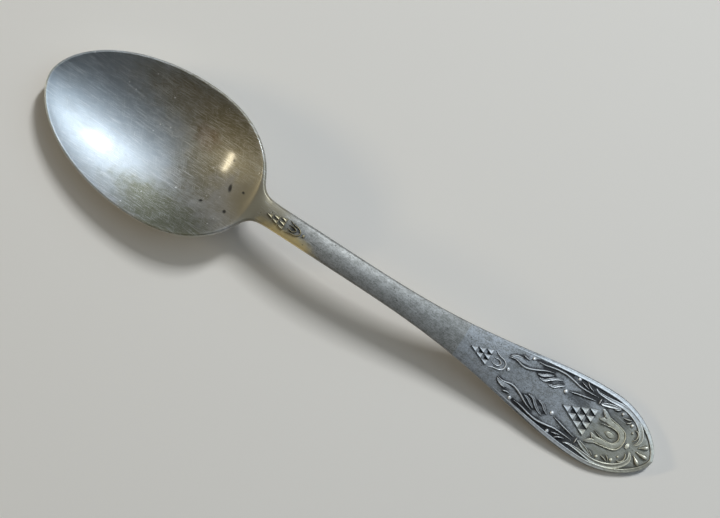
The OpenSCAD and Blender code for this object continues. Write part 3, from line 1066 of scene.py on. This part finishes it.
# %% The tree for struck lines
def struck_line_tree():
    t = Tree("struck_line", ("Step", "Float"), ("Finish", "Material"))
    path = t.node("GeometryNodeMeshToCurve", {}, {"Mesh": t.given("Geometry")})
    path = t.node("GeometryNodeCurveSplineType", {"spline_type": "CATMULL_ROM"}, {"Curve": path})
    path = t.node(
        "GeometryNodeResampleCurve", {"mode": "LENGTH"}, {"Curve": path, "Length": t.given("Step")}
    )
    path = t.node("GeometryNodeSetCurveNormal", {"mode": "Z_UP"}, {"Curve": path})
    # width along the line: a swelling one is widest at its fat place, an even one everywhere
    way = t.node("GeometryNodeSplineParameter", {}, {}, out="Factor")
    skewed = t.maths("POWER", way, t.named("skew"))
    wave = t.maths("SINE", t.maths("MULTIPLY", skewed, math.pi))
    swell = t.maths("MAXIMUM", t.maths("POWER", t.maths("MAXIMUM", wave, 0.0), 0.6), 0.3)
    share = t.maths("MAXIMUM", swell, t.named("even"))
    # both ends close in a round nose
    centred = t.maths("ABSOLUTE", t.maths("MULTIPLY_ADD", way, 2.0, -1.0))
    nose = t.maths("SQRT", t.maths("SUBTRACT", 1.0002, t.maths("POWER", centred, t.named("nose"))))
    path = t.store(path, "share", t.maths("MULTIPLY", share, nose))
    path = t.store(path, "closing", nose)
    section = t.node(
        "GeometryNodeCurvePrimitiveCircle", {"mode": "RADIUS"}, {"Resolution": 24, "Radius": 0.5}
    )
    place = t.axes()
    off_centre = t.maths("ABSOLUTE", t.maths("MULTIPLY", place["X"], 2.0))
    section = t.store(section, "off_centre", off_centre)
    section = t.store(section, "above", t.maths("GREATER_THAN", place["Y"], 0.01))
    ridge = t.node(
        "GeometryNodeCurveToMesh",
        {},
        {
            "Curve": path,
            "Profile Curve": section,
            "Scale": t.maths("MULTIPLY", t.named("share"), t.named("width")),
            "Fill Caps": True,
        },
    )
    # a line comes to a crest; a band stands up steeply and dips in its middle
    inward = t.maths("SUBTRACT", 1.0, t.named("off_centre"))
    crest = t.maths("POWER", inward, 0.8)
    bowed = t.maths("SUBTRACT", 1.0, t.maths("POWER", t.named("off_centre"), 2.0))
    band = t.maths("MULTIPLY", t.maths("MINIMUM", t.maths("MULTIPLY", inward, 4.5), 1.0),
                   t.maths("SUBTRACT", 1.0, t.maths("MULTIPLY", bowed, t.named("dip"))))
    flatness = t.node(
        "ShaderNodeMix", {"data_type": "FLOAT"}, {0: t.named("flat"), 2: crest, 3: band}
    )
    lift = t.maths("MULTIPLY", flatness, t.named("above"))
    ridge = t.store(ridge, "lift", lift)
    # how bright each point of the line is painted: rubbed wear, and a painted highlight towards the crest
    ridge = t.store(ridge, "tone", t.maths("MULTIPLY", lift, t.named("gloss")))
    grown = t.maths("MULTIPLY", t.maths("MULTIPLY_ADD", t.named("share"), 0.6, 0.4), t.named("closing"))
    height = t.maths("MULTIPLY", t.maths("MULTIPLY", grown, t.given("Height")), t.named("tall"))
    t.result(dressed(t, laid(t, ridge, height)))
    return t.group


# %% The tree for beads and spikes
def struck_boss_tree():
    t = Tree("struck_boss", ("Boss", "Object"), ("Finish", "Material"))
    boss = t.node("GeometryNodeObjectInfo", {}, {"Object": t.given("Boss")}, out="Geometry")
    size = t.node(
        "ShaderNodeCombineXYZ", {}, {"X": t.named("size_s"), "Y": t.named("size_y"), "Z": MM}
    )
    points = t.node("GeometryNodeMeshToPoints", {}, {"Mesh": t.given("Geometry")})
    many = t.node(
        "GeometryNodeInstanceOnPoints", {}, {"Points": points, "Instance": boss, "Scale": size}
    )
    real = t.node("GeometryNodeRealizeInstances", {}, {"Geometry": many})
    t.result(dressed(t, laid(t, real, t.given("Height"))))
    return t.group


LINE_TREE = struck_line_tree()
BOSS_TREE = struck_boss_tree()

# %% [markdown]
# ## The two bosses
# A bead is a low dome. A spike is a small three-cornered roof: it slopes up from all three
# sides to a narrow top, with its sharp corner towards the bowl.

# %% Bead and spike shapes
def keep(mesh, name, values):
    """Stores one number on every point of a mesh."""
    mesh.attributes.new(name, "FLOAT", "POINT").data.foreach_set("value", values)


def lifted_mesh(name, points, faces, smooth, wear_and_sheen_levels=None):
    """A small closed shape drawn flat, with its height kept in the attribute called lift."""
    mesh = bpy.data.meshes.new(name)
    mesh.from_pydata(points, [], faces)
    mesh.polygons.foreach_set("use_smooth", [smooth] * len(faces))
    lifts = [z for x, y, z in points]
    keep(mesh, "lift", lifts)
    keep(mesh, "tone", wear_and_sheen_levels or lifts)
    return bpy.data.objects.new(name, mesh)


def dome(n=24):
    """Rings of n points from the base inwards, then a top point and a base point."""
    points, faces = [], []
    climbs = np.radians([0, 15, 30, 45, 60, 75]).tolist()
    for climb in climbs:
        for a in [2 * math.pi * i / n for i in range(n)]:
            points.append((math.cos(a) * math.cos(climb), math.sin(a) * math.cos(climb), math.sin(climb)))
    for level in range(len(climbs) - 1):
        for i in range(n):
            a, b = level * n + i, level * n + (i + 1) % n
            faces.append((a, b, b + n, a + n))
    last, top_point = len(points) - n, len(points)
    for i in range(n):
        faces.append((last + i, last + (i + 1) % n, top_point))
        faces.append((i, top_point + 1, (i + 1) % n))
    return lifted_mesh("bead_shape", points + [(0, 0, 1), (0, 0, 0)], faces, smooth=True)


def roof():
    """Three corners, one unit long and one wide, with the sharp corner at -1."""
    corners = [(-1.0, 0.0), (0.0, -0.5), (0.0, 0.5)]
    middle = (-0.36, 0.0)

    def level(k):
        return [(mix(x, middle[0], k), mix(y, middle[1], k)) for x, y in corners]

    points, wear_and_sheen_levels = [], []
    # the foot of each spike is painted black and its top light: tarnish and wear, with painted shade and a
    # painted highlight
    for inward, lift, tone in ((0, 0.0, 0.0), (0.05, 0.8, 0.12), (0.14, 1.0, 0.62)):
        points += [(x, y, lift) for x, y in level(inward)]
        wear_and_sheen_levels += [tone] * 3
    faces = [(2, 1, 0)]
    for a in (0, 3):
        for i in range(3):
            j = (i + 1) % 3
            faces.append((a + i, a + j, a + 3 + j, a + 3 + i))
    points.append((*middle, 0.85))
    wear_and_sheen_levels.append(0.66)
    for i in range(3):
        faces.append((6 + i, 6 + (i + 1) % 3, 9))
    return lifted_mesh("spike_shape", points, faces, smooth=False, wear_and_sheen_levels=wear_and_sheen_levels)


bead_shape = dome()
spike_shape = roof()

# %% [markdown]
# ## Striking the ornament
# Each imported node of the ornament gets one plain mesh, made by running its paths or points
# through a tree and keeping the result.

# %% Paths and points as meshes
def path_mesh(name, lines):
    """Every line as a chain of edges that carries its own widths."""
    points, edges = [], []
    same_all_along = ("even", "flat", "dip", "gloss")
    columns_of = {kind: [] for kind in ("width", "skew", "tall", "nose", *same_all_along)}
    for each in lines:
        first = len(points)
        count = len(each["points"])
        points += [((s - length / 2) * MM, y * MM, 0) for s, y in each["points"]]
        edges += [(first + i, first + i + 1) for i in range(count - 1)]
        columns_of["width"] += [width * MM for width in each["width"]]
        columns_of["skew"] += [math.log(0.5) / math.log(each["fat"])] * count
        columns_of["tall"] += each["tall"]
        for kind in same_all_along:
            columns_of[kind] += [each[kind]] * count
        columns_of["nose"] += [200.0 if each["even"] else 14.0] * count
    return attributed(name, points, edges, columns_of)


def point_mesh(name, places):
    points = [((s - length / 2) * MM, y * MM, 0) for s, y, a, b in places]
    sizes = {"size_s": [a * MM for s, y, a, b in places], "size_y": [b * MM for s, y, a, b in places]}
    return attributed(name, points, [], sizes)


def attributed(name, points, edges, values_of):
    mesh = bpy.data.meshes.new(name)
    mesh.from_pydata(points, edges, [])
    for key, values in values_of.items():
        keep(mesh, key, values)
    return mesh


def struck(name, mesh, tree, inputs):
    """Runs a mesh through a tree and returns the result as a plain mesh."""
    maker = bpy.data.objects.new(name, mesh)
    scene.collection.objects.link(maker)
    modifier = maker.modifiers.new("struck", "NODES")
    modifier.node_group = tree
    for socket in tree.interface.items_tree:
        if socket.in_out == "INPUT" and socket.name in inputs:
            modifier[socket.identifier] = inputs[socket.name]
    evaluated = maker.evaluated_get(bpy.context.evaluated_depsgraph_get())
    plain = bpy.data.meshes.new_from_object(evaluated)
    bpy.data.objects.remove(maker)
    work = bmesh.new()
    work.from_mesh(plain)
    bmesh.ops.recalc_face_normals(work, faces=work.faces)
    work.to_mesh(plain)
    work.free()
    return plain


# %% Strike every node
LINE_STEP = 0.08 * MM


def metal_under(node):
    return silver_neck if node.startswith("neck") else silver_end


def strike(node, mesh, tree, inputs):
    inputs = dict(inputs, Metal=metal_under(node), Finish=relief_silver)
    plain = struck(node + "_maker", mesh, tree, inputs)
    print(node, len(plain.polygons), "faces")
    return show("struck_" + node, plain, relief_silver, node)


for node, lines in LINES.items():
    height = (ground_d + 0.1 if node == "border_rim" else relief_h) * MM
    piece = strike(node, path_mesh(node + "_paths", lines), LINE_TREE, {"Height": height, "Step": LINE_STEP})
    piece.data.polygons.foreach_set("use_smooth", [True] * len(piece.data.polygons))
for places_of, boss in ((SPIKE_NODES, spike_shape), (BEAD_NODES, bead_shape)):
    for node, places in places_of.items():
        inputs = {"Height": relief_h * MM, "Boss": boss}
        strike(node, point_mesh(node + "_points", places), BOSS_TREE, inputs)
for boss in (spike_shape, bead_shape):
    bpy.data.objects.remove(boss)

# %% [markdown]
# ## Where the ground stays black
# The tarnish collects beside and between the struck lines, where no cloth reaches. Each point
# of the ground looks at how much ornament stands close by. The groove along the edge is
# blackened more on the side away from the key lamp, which is painted shade.

# %% Closeness to the ornament
def along_path(points, step=0.2):
    """Places every step along a chain of points."""
    points = np.array(points)
    run = np.concatenate([[0], np.cumsum(np.hypot(*np.diff(points, axis=0).T))])
    way = np.arange(0, run[-1], step)
    return np.stack([np.interp(way, run, points[:, 0]), np.interp(way, run, points[:, 1])], axis=-1)


def gaps(places):
    """The middles of the black gaps between spikes that stand side by side."""
    return np.array([
        (a[0] - 0.3 * a[2], (a[1] + b[1]) / 2)
        for a, b in zip(places, places[1:])
        if abs(a[0] - b[0]) < 0.01
    ])


GROOVE_INSET = 1.25
GROOVE_S = np.linspace(length - 31, length - 2.6, 24)
GROOVE = along_path(np.stack([GROOVE_S, handle_half_width(GROOVE_S) - GROOVE_INSET], axis=-1))
MARKS = [(along_path(each["points"]), 1.2, each["shade"])
         for lines in LINES.values() for each in lines if each["shade"] > 0]
GAP_SHADE = {"end_pyramid": 4.0, "shoulder_pyramid": 2.4, "neck_pyramid": 0.8}
MARKS += [(gaps(places), places[0][2] * 0.62, GAP_SHADE[node])
          for node, places in SPIKE_NODES.items()]
# the groove is tarnish on both sides; the larger weight on the side away from the key lamp adds painted
# shade
MARKS += [(GROOVE * (1, side), 0.6, weight) for side, weight in ((1, 0.3), (-1, 0.5))]


def closeness(mesh, marks):
    """Stores on every point how crowded the ornament is round it."""
    co = np.empty(len(mesh.vertices) * 3)
    mesh.vertices.foreach_get("co", co)
    ground = co.reshape(-1, 3)[:, :2] / MM + np.array([length / 2, 0])
    near = np.zeros(len(ground))
    for places, reach, weight in marks:
        for place in places:
            close = np.flatnonzero(np.abs(ground - place).max(axis=1) < reach)
            gap = ((ground[close] - place) ** 2).sum(axis=1) / reach**2
            near[close] += weight * np.clip(1 - gap, 0, 1) ** 2
    keep(mesh, "near", near)
    print(mesh.name, "most crowded", round(float(near.max()), 2))


closeness(end_mesh, MARKS)
closeness(neck_mesh, MARKS)
